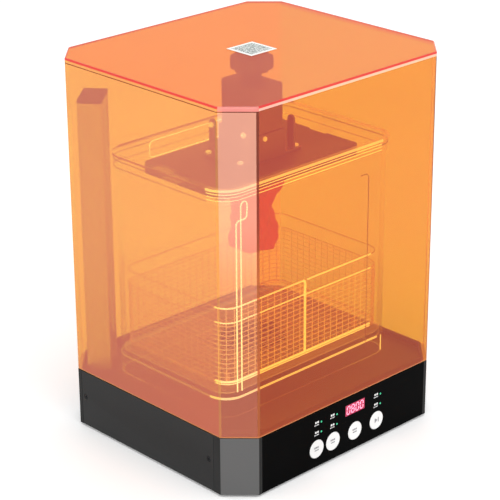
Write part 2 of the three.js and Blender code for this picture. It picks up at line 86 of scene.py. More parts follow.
def rounded(half_x, half_y, radius, steps=6):
    """A rounded rectangle, counterclockwise from the right side's front end."""
    points = []
    for cx, cy, first in ((1, -1, -90), (1, 1, 0), (-1, 1, 90), (-1, -1, 180)):
        for k in range(steps + 1):
            a = math.radians(first + 90 * k / steps)
            points.append(Vector((cx * (half_x - radius) + radius * math.cos(a),
                                  cy * (half_y - radius) + radius * math.sin(a), 0)))
    return points


def at(points, z):
    return [Vector((p.x, p.y, z)) for p in points]


# ------------------------------------------------------------------ shapes
class Shape:
    """Faces gathered in millimetres before they become one piece."""

    def __init__(self):
        self.verts, self.faces, self.slots = [], [], []

    def add(self, verts, faces, slot=0):
        start = len(self.verts)
        self.verts += [Vector(v) for v in verts]
        self.faces += [tuple(start + i for i in f) for f in faces]
        self.slots += [slot] * len(faces)
        return self

    def loft(self, rings, slots=0, caps=(True, True), cap_slot=None):
        """Closed loops of equal length joined in order. slots is one number, or one entry for each band;
        an entry is a number, or a list with a number for each side of the loops."""
        n = len(rings[0])
        start = len(self.verts)
        self.add([v for ring in rings for v in ring], [])
        for band in range(len(rings) - 1):
            slot = slots if isinstance(slots, int) else slots[band]
            for i in range(n):
                j = (i + 1) % n
                a, b = start + band * n, start + (band + 1) * n
                self.faces.append((a + i, a + j, b + j, b + i))
                self.slots.append(slot if isinstance(slot, int) else slot[i])
        end_slot = cap_slot if cap_slot is not None else (slots if isinstance(slots, int) else slots[0])
        if caps[0]:
            self.faces.append(tuple(start + i for i in reversed(range(n))))
            self.slots.append(end_slot)
        if caps[1]:
            last = start + (len(rings) - 1) * n
            self.faces.append(tuple(last + i for i in range(n)))
            self.slots.append(end_slot)
        return self

    def ring_wall(self, rings, slots=0):
        """Loops joined in order and the last joined to the first: a closed wall with no caps."""
        return self.loft(list(rings) + [rings[0]], slots, (False, False))

    def box(self, low, high, slot=0):
        corners = [Vector((x, y, z)) for z in (low[2], high[2]) for y in (low[1], high[1])
                   for x in (low[0], high[0])]
        quads = [(0, 2, 3, 1), (4, 5, 7, 6), (0, 1, 5, 4), (2, 6, 7, 3), (0, 4, 6, 2), (1, 3, 7, 5)]
        return self.add(corners, quads, slot)

    def tube(self, path, radius, sides=8, closed=False, slot=0):
        """A round rod along a path of points."""
        path = [Vector(p) for p in path]
        n = len(path)
        rings, normal = [], None
        for i, p in enumerate(path):
            if closed:
                tangent = path[(i + 1) % n] - path[i - 1]
            else:
                tangent = path[min(i + 1, n - 1)] - path[max(i - 1, 0)]
            tangent.normalize()
            if normal is None:
                seed = Vector((0, 0, 1)) if abs(tangent.z) < 0.9 else Vector((1, 0, 0))
                normal = (seed - tangent * seed.dot(tangent)).normalized()
            else:
                normal = (normal - tangent * normal.dot(tangent)).normalized()
            side = tangent.cross(normal)
            rings.append([p + (normal * math.cos(a) + side * math.sin(a)) * radius
                          for a in (2 * math.pi * k / sides for k in range(sides))])
        if closed:
            return self.ring_wall(rings, slot)
        return self.loft(rings, slot)

    def turned(self, profile, centre=(0, 0, 0), axis="Z", sides=32, slots=0):
        """A profile of (radius, height) turned about an axis."""
        rings = []
        for r, h in profile:
            ring = []
            for k in range(sides):
                a = 2 * math.pi * k / sides
                p = Vector((r * math.cos(a), r * math.sin(a), h))
                if axis == "Y":
                    p = Vector((p.x, p.z, -p.y))
                elif axis == "X":
                    p = Vector((p.z, p.x, p.y))
                ring.append(p + Vector(centre))
            rings.append(ring)
        return self.loft(rings, slots)


def edge_smoothing(limit=32):
    """A node group that shades faces smooth and keeps edges over the limit sharp."""
    tree = bpy.data.node_groups.new("edge_smoothing", "GeometryNodeTree")
    for side in ("INPUT", "OUTPUT"):
        tree.interface.new_socket("Geometry", in_out=side, socket_type="NodeSocketGeometry")
    source, result = tree.nodes.new("NodeGroupInput"), tree.nodes.new("NodeGroupOutput")
    angle = tree.nodes.new("GeometryNodeInputMeshEdgeAngle")
    over = tree.nodes.new("FunctionNodeCompare")
    over.data_type, over.operation = "FLOAT", "GREATER_THAN"
    over.inputs[1].default_value = math.radians(limit)
    faces = tree.nodes.new("GeometryNodeSetShadeSmooth")
    edges = tree.nodes.new("GeometryNodeSetShadeSmooth")
    edges.domain = "EDGE"
    edges.inputs["Shade Smooth"].default_value = False
    tree.links.new(source.outputs[0], faces.inputs["Geometry"])
    tree.links.new(angle.outputs["Unsigned Angle"], over.inputs[0])
    tree.links.new(faces.outputs[0], edges.inputs["Geometry"])
    tree.links.new(over.outputs[0], edges.inputs["Selection"])
    tree.links.new(edges.outputs[0], result.inputs[0])
    return tree


SMOOTHING = edge_smoothing()


def soften(obj, bevel=0.0, segments=2, weld=False):
    """Rounds the hard edges of an object and smooths its shading, by modifiers only."""
    if weld:
        obj.modifiers.new("weld", "WELD").merge_threshold = 0.00002
        flat = obj.modifiers.new("planar", "DECIMATE")
        flat.decimate_type, flat.angle_limit = "DISSOLVE", math.radians(1.0)
    if bevel > 0:
        mod = obj.modifiers.new("bevel", "BEVEL")
        mod.width, mod.segments = bevel * MM, segments
        mod.limit_method, mod.angle_limit = "ANGLE", math.radians(34)
        mod.use_clamp_overlap = True
    obj.modifiers.new("smooth", "NODES").node_group = SMOOTHING
    if bevel > 0:
        normals = obj.modifiers.new("normals", "WEIGHTED_NORMAL")
        normals.keep_sharp, normals.weight = True, 90


def piece(name, shape, mats, body, stands_for=(), bevel=0.0, segments=2, merge=True):
    """Makes a piece from a shape, puts it on a CAD body and hides the CAD parts it stands for."""
    mesh = bpy.data.meshes.new(name)
    mesh.from_pydata([v * MM for v in shape.verts], [], shape.faces)
    for mat in mats:
        mesh.materials.append(mat)
    mesh.polygons.foreach_set("material_index", shape.slots)
    bm = bmesh.new()
    bm.from_mesh(mesh)
    if merge:
        bmesh.ops.remove_doubles(bm, verts=bm.verts, dist=0.000002)
    bmesh.ops.recalc_face_normals(bm, faces=bm.faces)
    bm.to_mesh(mesh)
    bm.free()
    mesh.update()
    obj = bpy.data.objects.new(name, mesh)
    bpy.context.scene.collection.objects.link(obj)
    soften(obj, bevel, segments)
    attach(obj, body)
    if stands_for:
        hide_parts(*stands_for)
    return obj


# ------------------------------------------------------------------ materials
class Look:
    """A procedural material around one Principled shader."""

    def __init__(self, name, **values):
        self.mat = bpy.data.materials.new(name)
        self.mat.use_nodes = True
        self.tree = self.mat.node_tree
        self.shader = self.tree.nodes["Principled BSDF"]
        self.out = self.tree.nodes["Material Output"]
        self.coords = None
        for key, value in values.items():
            name = key.replace("_", " ")
            self.shader.inputs[name].default_value = value

    def node(self, kind, inputs=None, **settings):
        made = self.tree.nodes.new(kind)
        for key, value in settings.items():
            setattr(made, key, value)
        for key, value in (inputs or {}).items():
            if isinstance(value, bpy.types.NodeSocket):
                self.tree.links.new(value, made.inputs[key])
            else:
                made.inputs[key].default_value = value
        return made

    def link(self, a, b):
        self.tree.links.new(a, b)

    def where(self, scale=(1, 1, 1)):
        """The object's own coordinates, in metres, stretched if asked."""
        if self.coords is None:
            self.coords = self.node("ShaderNodeTexCoord").outputs["Object"]
        if scale == (1, 1, 1):
            return self.coords
        return self.node("ShaderNodeMapping", {"Vector": self.coords, "Scale": scale}).outputs[0]

    def noise(self, size, detail=3.0, rough=0.55, stretch=(1, 1, 1)):
        """Noise with features of about size millimetres."""
        made = self.node("ShaderNodeTexNoise", {
            "Vector": self.where(stretch), "Scale": 1000.0 / size, "Detail": detail, "Roughness": rough})
        return made.outputs["Fac"]

    def ramp(self, value, low, high, start=0.3, end=0.7):
        """A value between start and end of its input, from low to high."""
        made = self.node("ShaderNodeMapRange", {
            "Value": value, "From Min": start, "From Max": end, "To Min": low, "To Max": high})
        return made.outputs[0]

    def blend(self, value, first, second):
        made = self.node("ShaderNodeMix", data_type="RGBA")
        self.link(value, made.inputs[0])
        for index, colour in ((6, first), (7, second)):
            if isinstance(colour, bpy.types.NodeSocket):
                self.link(colour, made.inputs[index])
            else:
                made.inputs[index].default_value = (*colour, 1)
        return made.outputs[2]

    def tint(self, value, first, second, start=0.3, end=0.7):
        self.link(self.blend(self.ramp(value, 0, 1, start, end), first, second),
                  self.shader.inputs["Base Color"])

    def roughen(self, value, low, high):
        self.link(self.ramp(value, low, high), self.shader.inputs["Roughness"])

    def bump(self, height, strength, depth):
        """Surface relief of about depth millimetres."""
        made = self.node("ShaderNodeBump", {
            "Height": height, "Strength": strength, "Distance": depth * MM})
        self.link(made.outputs[0], self.shader.inputs["Normal"])

    def worn_and_highlit_edges(self, base, edge, spread=0.35):
        """Lightens convex edges, as handled edges are; on the knob the lighter edges are also a painted
        highlight.
        """
        geometry = self.node("ShaderNodeNewGeometry")
        mask = self.ramp(geometry.outputs["Pointiness"], 0, spread, 0.52, 0.62)
        self.link(self.blend(mask, base, edge), self.shader.inputs["Base Color"])


def painted(name, colour, rough, metal=0.0, grain=0.55, depth=0.04, edge=None, spec=0.5):
    """Powder coat or moulded plastic: a fine grain, slow colour drift, lighter handled edges (on the knob
    partly a painted highlight).
    """
    look = Look(name, Roughness=rough, Metallic=metal)
    look.shader.inputs["Specular IOR Level"].default_value = spec
    drift = look.noise(60, 2)
    dark = tuple(c * 0.88 for c in colour)
    body = look.blend(look.ramp(drift, 0, 1), dark, colour)
    look.worn_and_highlit_edges(body, edge or tuple(min(1, c * 1.7 + 0.01) for c in colour))
    fine = look.noise(grain, 4, 0.6)
    look.roughen(fine, rough * 0.85, min(1, rough * 1.15))
    look.bump(fine, 0.35, depth)
    return look


def metal(name, colour, rough, stretch=(1, 1, 30), grain=2.0):
    """Bare or anodised metal with fine machining lines along the least stretched axes."""
    look = Look(name, Metallic=1.0, Roughness=rough)
    marks = look.noise(grain, 3, 0.6, stretch)
    look.tint(marks, tuple(c * 0.86 for c in colour), colour)
    look.roughen(marks, rough * 0.75, rough * 1.3)
    look.bump(marks, 0.2, 0.02)
    return look


def clear_look(name, through, haze, haze_colour, gloss=0.0, rough=0.06, ior=1.30, glow=0.0,
               size=70, foot=None):
    """Clear or tinted plastic: tinted see-through, a little milky haze, and a fresnel shine.
    foot is (low height, high height, haze, colour): how it looks toward its lower end."""
    look = Look(name, Roughness=0.35)
    look.shader.inputs["Specular IOR Level"].default_value = 0.2
    drift = look.noise(size, 2, 0.5)
    darker = tuple(c * 0.95 for c in haze_colour)
    lighter = tuple(min(1, c * 1.05) for c in haze_colour)
    colour = look.blend(drift, darker, lighter)
    clear = look.node("ShaderNodeBsdfTransparent", {"Color": (*through, 1)})
    mix = look.node("ShaderNodeMixShader", {0: haze, 1: clear.outputs[0], 2: look.shader.outputs[0]})
    if foot:
        low, high, low_haze, low_colour = foot
        place = look.node("ShaderNodeSeparateXYZ", {"Vector": look.where()})
        climb = look.node("ShaderNodeMapRange", {
            "Value": place.outputs[2], "From Min": low * MM, "From Max": high * MM},
            interpolation_type="SMOOTHSTEP").outputs[0]
        colour = look.blend(climb, low_colour, colour)
        look.link(look.ramp(climb, low_haze, haze, 0, 1), mix.inputs[0])
    look.link(colour, look.shader.inputs["Base Color"])
    if glow:
        look.shader.inputs["Emission Color"].default_value = (*haze_colour, 1)
        look.shader.inputs["Emission Strength"].default_value = glow
    last = mix
    if gloss:
        shine = look.node("ShaderNodeBsdfAnisotropic", {"Color": (1, 1, 1, 1)})
        look.link(look.ramp(drift, rough * 0.7, rough * 1.3), shine.inputs["Roughness"])
        facing = look.node("ShaderNodeFresnel", {"IOR": ior})
        share = look.node("ShaderNodeMath", {0: facing.outputs[0], 1: gloss}, operation="MULTIPLY")
        last = look.node("ShaderNodeMixShader", {
            0: share.outputs[0], 1: mix.outputs[0], 2: shine.outputs[0]})
    look.link(last.outputs[0], look.out.inputs["Surface"])
    return look


HOUSING = painted("powder_coat", (0.010, 0.010, 0.010), 0.50, 0.0, grain=0.8, depth=0.05, spec=0.22)
SHELL = painted("powder_coat_shell_corner_sheen", (0.008, 0.008, 0.008), 0.50, 0.0, grain=0.8, depth=0.05, spec=0.18)
# The shell's corner faces are painted a lighter grey than its straight sides: a painted sheen standing in
# for the light those faces catch.
shell_sheen_facing = SHELL.node("ShaderNodeNewGeometry")
split = SHELL.node("ShaderNodeSeparateXYZ", {"Vector": shell_sheen_facing.outputs["Normal"]})
both = SHELL.node("ShaderNodeMath", {0: split.outputs[0], 1: split.outputs[1]}, operation="MULTIPLY")
corner = SHELL.node("ShaderNodeMath", {0: both.outputs[0]}, operation="ABSOLUTE")
plain = SHELL.shader.inputs["Base Color"].links[0].from_socket
SHELL.link(SHELL.blend(SHELL.ramp(corner.outputs[0], 0, 1, 0.30, 0.48), plain, (0.10, 0.10, 0.10)),
           SHELL.shader.inputs["Base Color"])
DECK = painted("deck_coat", (0.012, 0.010, 0.010), 0.42, 0.0, grain=0.9, depth=0.05)
GLOSS = Look("gloss_panel", Roughness=0.12)
GLOSS.shader.inputs["Specular IOR Level"].default_value = 0.02
GLOSS.tint(GLOSS.noise(80, 2), (0.0005, 0.0005, 0.0005), (0.0009, 0.0009, 0.0010))
GLOSS.roughen(GLOSS.noise(25, 4), 0.08, 0.16)
PLASTIC = painted("dark_plastic", (0.030, 0.030, 0.032), 0.5, grain=0.45, depth=0.03)
# The knob's light edge colour is partly wear and partly a painted highlight on its lobes and neck.
KNOB = painted("knob_plastic", (0.060, 0.055, 0.055), 0.36, grain=0.45, depth=0.03, edge=(0.40, 0.36, 0.34))
COLUMN = painted("column_metal", (0.58, 0.44, 0.37), 0.38, 0.35, grain=0.7, depth=0.02)
RUBBER = painted("rubber", (0.018, 0.018, 0.018), 0.85, grain=0.6, depth=0.08, spec=0.3)
WHITE = painted("white_caps", (0.86, 0.86, 0.85), 0.32, grain=0.5, depth=0.012, edge=(0.95, 0.95, 0.95))
STEEL = metal("bright_steel", (0.62, 0.62, 0.64), 0.28)
# The screws are near white and glow a little: a painted glint standing in for light catching them.
BRIGHT = painted("zinc_screws_painted_glint", (0.92, 0.88, 0.72), 0.25, 0.2, grain=0.6, depth=0.02)
BRIGHT.shader.inputs["Emission Color"].default_value = (1.0, 0.90, 0.65, 1)
BRIGHT.shader.inputs["Emission Strength"].default_value = 0.30
BLACK_STEEL = metal("black_steel", (0.035, 0.035, 0.037), 0.35)
ZINC = metal("zinc_plate", (0.50, 0.50, 0.53), 0.42, stretch=(1, 8, 1), grain=3.0)
ALUMINIUM = metal("lamp_board_metal", (0.75, 0.76, 0.78), 0.4)
ANODISED = Look("anodised", Metallic=0.45, Roughness=0.42)
grain = ANODISED.noise(1.6, 3, 0.6, (1, 1, 14))
anodised_body = ANODISED.blend(ANODISED.ramp(grain, 0, 1), (0.040, 0.036, 0.036), (0.062, 0.056, 0.056))
ANODISED.worn_and_highlit_edges(anodised_body, (0.50, 0.44, 0.40), 0.6)
ANODISED.roughen(grain, 0.34, 0.5)
ANODISED.bump(grain, 0.2, 0.02)
MAGNET = metal("nickel", (0.66, 0.65, 0.62), 0.2, stretch=(1, 1, 1), grain=4.0)

BOARD = Look("circuit_board", Roughness=0.45)
tracks = BOARD.node("ShaderNodeTexBrick", {
    "Vector": BOARD.where((1, 1, 1)), "Scale": 160.0, "Mortar Size": 0.03,
    "Color1": (0.012, 0.10, 0.045, 1), "Color2": (0.010, 0.085, 0.038, 1), "Mortar": (0.03, 0.18, 0.08, 1)})
BOARD.link(tracks.outputs["Color"], BOARD.shader.inputs["Base Color"])
BOARD.bump(BOARD.noise(1.2, 3), 0.3, 0.05)

RESIN = clear_look("cured_resin", (1.0, 0.42, 0.26), 0.50, (0.66, 0.10, 0.045), gloss=0.4, size=14)
layers = RESIN.node("ShaderNodeTexWave", {
    "Vector": RESIN.where(), "Scale": 320.0, "Distortion": 0.4, "Detail": 1.0}, bands_direction="Z")
RESIN.bump(layers.outputs["Fac"], 0.35, 0.06)

LENS = clear_look("lamp_lens", (0.92, 0.93, 0.97), 0.45, (0.80, 0.80, 0.86), gloss=0.8)

# The hood's walls let red and yellow through and stop blue; the edges are seen end on, so deeper. Front and
# back, sides, roof and corners are lit and shaded copies of one amber, each with its own painted haze, and
# the foot settings paint a change of light towards the bottom. The corner walls and pink edges carry a
# painted reflection, the pale and light edges a painted highlight, the dark edges painted shade.
HOOD = clear_look("amber_hood", (0.93, 0.68, 0.16), 0.31, (1.0, 0.135, 0.10), gloss=0.35, ior=1.22,
                  foot=(90, 260, 0.27, (1.0, 0.16, 0.07)))
HOOD_SIDE = clear_look("amber_sides", (0.84, 0.93, 0.22), 0.47, (1.0, 0.25, 0.165), gloss=0.35, ior=1.22,
                       foot=(90, 260, 0.44, (1.0, 0.24, 0.15)))
HOOD_ROOF = clear_look("amber_roof", (0.92, 0.68, 0.30), 0.47, (1.0, 0.165, 0.095), gloss=0.10, ior=1.22)
HOOD_INSIDE = clear_look("amber_inside", (1.0, 0.97, 0.92), 0.006, (1.0, 0.35, 0.10))
HOOD_CORNER_REFLECTION = clear_look("amber_corner_reflection", (0.96, 0.86, 0.50), 0.58, (0.98, 0.42, 0.30), gloss=0.4, rough=0.12,
                       foot=(170, 300, 0.33, (1.0, 0.26, 0.17)))
HOOD_EDGE = clear_look("amber_edge_red", (0.85, 0.15, 0.08), 0.85, (0.72, 0.045, 0.040), gloss=0.2, size=12)
HOOD_PINK_REFLECTION = clear_look("amber_edge_pink_reflection", (1.0, 0.50, 0.40), 0.75, (0.88, 0.27, 0.23), gloss=0.5, size=12)
HOOD_EDGE_HIGHLIGHT = clear_look("amber_edge_highlight", (1.0, 0.80, 0.60), 0.80, (1.0, 0.50, 0.38), gloss=0.6, size=12)
HOOD_PALE_HIGHLIGHT = clear_look("amber_edge_pale_highlight", (1.0, 0.72, 0.30), 0.42, (1.0, 0.36, 0.14), gloss=0.4, size=20)
HOOD_DARK_SHADE = clear_look("amber_edge_shade", (0.45, 0.16, 0.07), 0.60, (0.26, 0.045, 0.022), gloss=0.3,
                       size=20, foot=(200, 300, 0.45, (0.72, 0.19, 0.06)))

BUCKET = clear_look("bucket_clear", (0.997, 0.995, 0.99), 0.008, (1.0, 0.93, 0.80), gloss=0.35, ior=1.25,
                    size=50)
BUCKET_INSIDE = clear_look("bucket_inside", (0.998, 0.996, 0.992), 0.003, (1.0, 0.93, 0.80))
BUCKET_FLOOR = clear_look("bucket_floor", (0.98, 0.95, 0.90), 0.30, (1.0, 0.84, 0.62), gloss=0.4, size=40)
# The edge and wire looks glow and are whiter than the clear plastic: painted highlights on the bucket's
# edges and the basket's wires; the soft looks are dimmer copies for the sides and back, the shade look is
# painted shade.
BUCKET_EDGE_HIGHLIGHT = clear_look("bucket_edge_highlight", (1.0, 0.95, 0.80), 0.80, (1.0, 0.95, 0.82), gloss=0.8, size=9,
                         glow=0.85)
BUCKET_SOFT_HIGHLIGHT = clear_look("bucket_edge_soft_highlight", (0.95, 0.85, 0.72), 0.28, (1.0, 0.86, 0.60), gloss=0.5, size=9,
                         glow=0.35)
BUCKET_SHADE = clear_look("bucket_edge_shade", (0.55, 0.32, 0.22), 0.45, (0.30, 0.16, 0.10), gloss=0.6,
                          size=9)
WIRE = clear_look("basket_wire", (1.0, 0.93, 0.78), 0.34, (1.0, 0.86, 0.60), gloss=0.5, size=7, glow=0.35)
WIRE_SOFT = clear_look("basket_wire_soft", (0.92, 0.76, 0.62), 0.26, (1.0, 0.76, 0.50), gloss=0.3, size=7,
                       glow=0.12)
WIRE_BRIGHT = clear_look("basket_rail", (1.0, 0.95, 0.80), 0.75, (1.0, 0.93, 0.75), gloss=0.8, size=9,
                         glow=0.80)

LABEL = Look("hood_label", Roughness=0.55)
speck = LABEL.noise(1.5, 2, 0.7)
speckle = LABEL.blend(LABEL.ramp(speck, 0, 1, 0.44, 0.56), (0.16, 0.19, 0.17), (0.74, 0.76, 0.74))
place = LABEL.node("ShaderNodeSeparateXYZ", {"Vector": LABEL.where()})
ax = LABEL.node("ShaderNodeMath", {0: place.outputs[0]}, operation="ABSOLUTE")
ay = LABEL.node("ShaderNodeMath", {0: place.outputs[1]}, operation="ABSOLUTE")
reach = LABEL.node("ShaderNodeMath", {0: ax.outputs[0], 1: ay.outputs[0]}, operation="MAXIMUM")
border = LABEL.ramp(reach.outputs[0], 0, 1, 0.0142, 0.0146)
LABEL.link(LABEL.blend(border, speckle, (0.90, 0.90, 0.89)), LABEL.shader.inputs["Base Color"])
LABEL.bump(LABEL.noise(2.0, 2), 0.1, 0.02)

PRINT = Look("panel_print", Roughness=0.5)
PRINT.tint(PRINT.noise(1.5, 2), (0.62, 0.62, 0.62), (0.85, 0.85, 0.85))
GREY_PRINT = Look("button_print", Roughness=0.5)
GREY_PRINT.tint(GREY_PRINT.noise(1.5, 2), (0.22, 0.22, 0.23), (0.34, 0.34, 0.35))
LED = Look("led_green", Roughness=0.3, Emission_Strength=0.35)
LED.shader.inputs["Emission Color"].default_value = (0.03, 0.60, 0.28, 1)
LED.tint(LED.noise(0.8, 2), (0.02, 0.32, 0.16), (0.05, 0.50, 0.26))
SCREEN = Look("display_face", Roughness=0.15, Emission_Strength=0.55)
SCREEN.shader.inputs["Emission Color"].default_value = (0.55, 0.02, 0.09, 1)
SCREEN.tint(SCREEN.noise(6, 2), (0.22, 0.01, 0.04), (0.30, 0.015, 0.06))
DIGIT = Look("display_segments", Roughness=0.4, Emission_Strength=1.0)
DIGIT.shader.inputs["Emission Color"].default_value = (1.0, 0.30, 0.48, 1)
DIGIT.tint(DIGIT.noise(2, 2), (0.9, 0.30, 0.42), (1.0, 0.40, 0.52))
FLOOR = Look("floor", Roughness=0.9)
FLOOR.shader.inputs["Specular IOR Level"].default_value = 0.1
FLOOR.tint(FLOOR.noise(900, 2), (0.93, 0.93, 0.93), (0.95, 0.95, 0.95))
FLOOR.shader.inputs["Emission Color"].default_value = (1, 1, 1, 1)
FLOOR.shader.inputs["Emission Strength"].default_value = 0.15


# ------------------------------------------------------------------ carried-over CAD nodes
def dress(node, look, bevel=0.4, segments=2):
    obj = NODES[node]
    for mat_slot in obj.material_slots:
        mat_slot.material = look.mat
    soften(obj, bevel, segments, weld=True)


for name in ("left_panel", "right_panel", "rear_panel"):
    dress(name, HOUSING, 0.6)
dress("base_shell", SHELL, 1.2, 3)
dress("lamp_housing", COLUMN, 0.6)
dress("bottom_plate", HOUSING, 0.3)
dress("front_panel", GLOSS, 0.35)
for name in ("deck_plate", "locating_lip", "drive_cap"):
    dress(name, DECK, 0.5)
for name in ("drive_hub", "power_inlet", "switch_frame", "power_rocker", "lamp_cap"):
    dress(name, PLASTIC, 0.4)
for row in ("front", "rear"):
    for side in ("left", "right"):
        dress(f"foot_{row}_{side}", RUBBER, 0.6)
for name in ("control_board", "power_board"):
    dress(name, BOARD, 0.2)
for name in ("drive_motor", "motor_bracket"):
    dress(name, ZINC, 0.5)
for name in ("motor_shaft", "knob_stem", "impeller_pin"):
    dress(name, STEEL, 0.2)
for name in ("hub_magnet_1", "hub_magnet_2", "impeller_magnet_1", "impeller_magnet_2"):
    dress(name, MAGNET, 0.3)
dress("lamp_board", ALUMINIUM, 0.1)
dress("lamp_lens", LENS, 0.3)
dress("hood_label", LABEL, 0.05)
dress("impeller", PLASTIC, 0.3)
dress("build_plate", ANODISED, 0.8)
dress("arm_block", ANODISED, 0.5)
dress("display_module", SCREEN, 0.2)
for name in LED_COLUMNS:
    dress(f"light_guide_{name}", LED, 0.1)
for name in ("hanger_left", "hanger_right"):
    dress(name, BUCKET, 0.3)


# ------------------------------------------------------------------ hood
def make_hood():
    """Eight flat walls and a roof sheet of amber acrylic with rounded corners; its edges and corner walls
    carry painted highlight, reflection and shade looks.
    """
    steps = 3
    wall, inside, red, corner_reflection_slot, pale, dark, side, roof, rim, pink = range(10)

    def around(front, right, back, left, corner):
        """One slot for each strip of the loop: three of each fillet, then the wall after it."""
        walls = [right, back, back, back, left, corner, front, corner]
        fillets = [right, right, back, back, left, left, corner, front]
        return [slot for a, b in zip(fillets, walls) for slot in [a] * steps + [b]]

    # The corner-wall and pink slots are painted reflection, the pale and rim slots painted highlight, the
    # dark slot painted shade; the side and roof slots are lit and shaded copies of the wall.
    walls = around(wall, side, wall, side, corner_reflection_slot)
    for number, slot in ((5, pale), (6, dark), (7, dark), (0, pale)):
        walls[number * (steps + 1):number * (steps + 1) + steps] = [slot] * steps
    line = around(wall, side, wall, dark, dark)
    under = around(rim, rim, wall, side, pink)
    upper = around(red, red, red, red, pink)
    out, groove = octagon(0, 3.5, steps), octagon(0.3, 3.4, steps)
    shape = Shape()
    rings = [at(groove, HOOD_BOTTOM), at(out, HOOD_BOTTOM + 0.3), at(out, HOOD_BOTTOM + 1.4),
             at(out, HOOD_TOP - 5.4), at(groove, HOOD_TOP - 5.2), at(groove, HOOD_TOP - 4.7),
             at(out, HOOD_TOP - 4.5), at(out, HOOD_TOP - 2.0), at(out, HOOD_TOP - 0.8),
             at(octagon(0.25, 3.4, steps), HOOD_TOP - 0.25), at(octagon(0.8, 3.0, steps), HOOD_TOP),
             at(octagon(1.2, 2.8, steps), HOOD_TOP)]
    slots = [pale, pale, walls, line, line, line, under, upper, upper, upper, upper]
    shape.loft(rings, slots, (False, True), roof)
    inner_low = at(octagon(HOOD_WALL, 1.6, steps), HOOD_BOTTOM)
    inner_high = at(octagon(HOOD_WALL, 1.6, steps), HOOD_TOP - HOOD_WALL)
    shape.loft([inner_low, inner_high], inside, (False, True), inside)
    shape.loft([rings[0], inner_low], pale, (False, False))
    looks = (HOOD, HOOD_INSIDE, HOOD_EDGE, HOOD_CORNER_REFLECTION, HOOD_PALE_HIGHLIGHT, HOOD_DARK_SHADE, HOOD_SIDE, HOOD_ROOF, HOOD_EDGE_HIGHLIGHT,
             HOOD_PINK_REFLECTION)
    piece("hood_cover", shape, [look.mat for look in looks], "hood", ["hood_shell"])


make_hood()


# ------------------------------------------------------------------ wash bucket
def front_wall(x, z, out=0.0):
    """A point on the bucket's front wall, following its corner beyond the flat part."""
    flat = BUCKET_X - BUCKET_R
    r = BUCKET_R + out
    if abs(x) <= flat:
        return Vector((x, -BUCKET_Y - out, z))
    return Vector((x, -(BUCKET_Y - BUCKET_R) - math.sqrt(max(0.0, r * r - (abs(x) - flat) ** 2)), z))


def arc(cx, cz, r, first, last, steps=5):
    return [(cx + r * math.cos(math.radians(first + (last - first) * k / steps)),
             cz + r * math.sin(math.radians(first + (last - first) * k / steps)))
            for k in range(steps + 1)]


def by_side(front, right, back, left, steps=8):
    """One slot for each side of a rounded loop. Each wall takes the corner before it."""
    return [right] * (steps + 1) + [back] * (steps + 1) + [left] * (steps + 1) + [front] * (steps + 1)


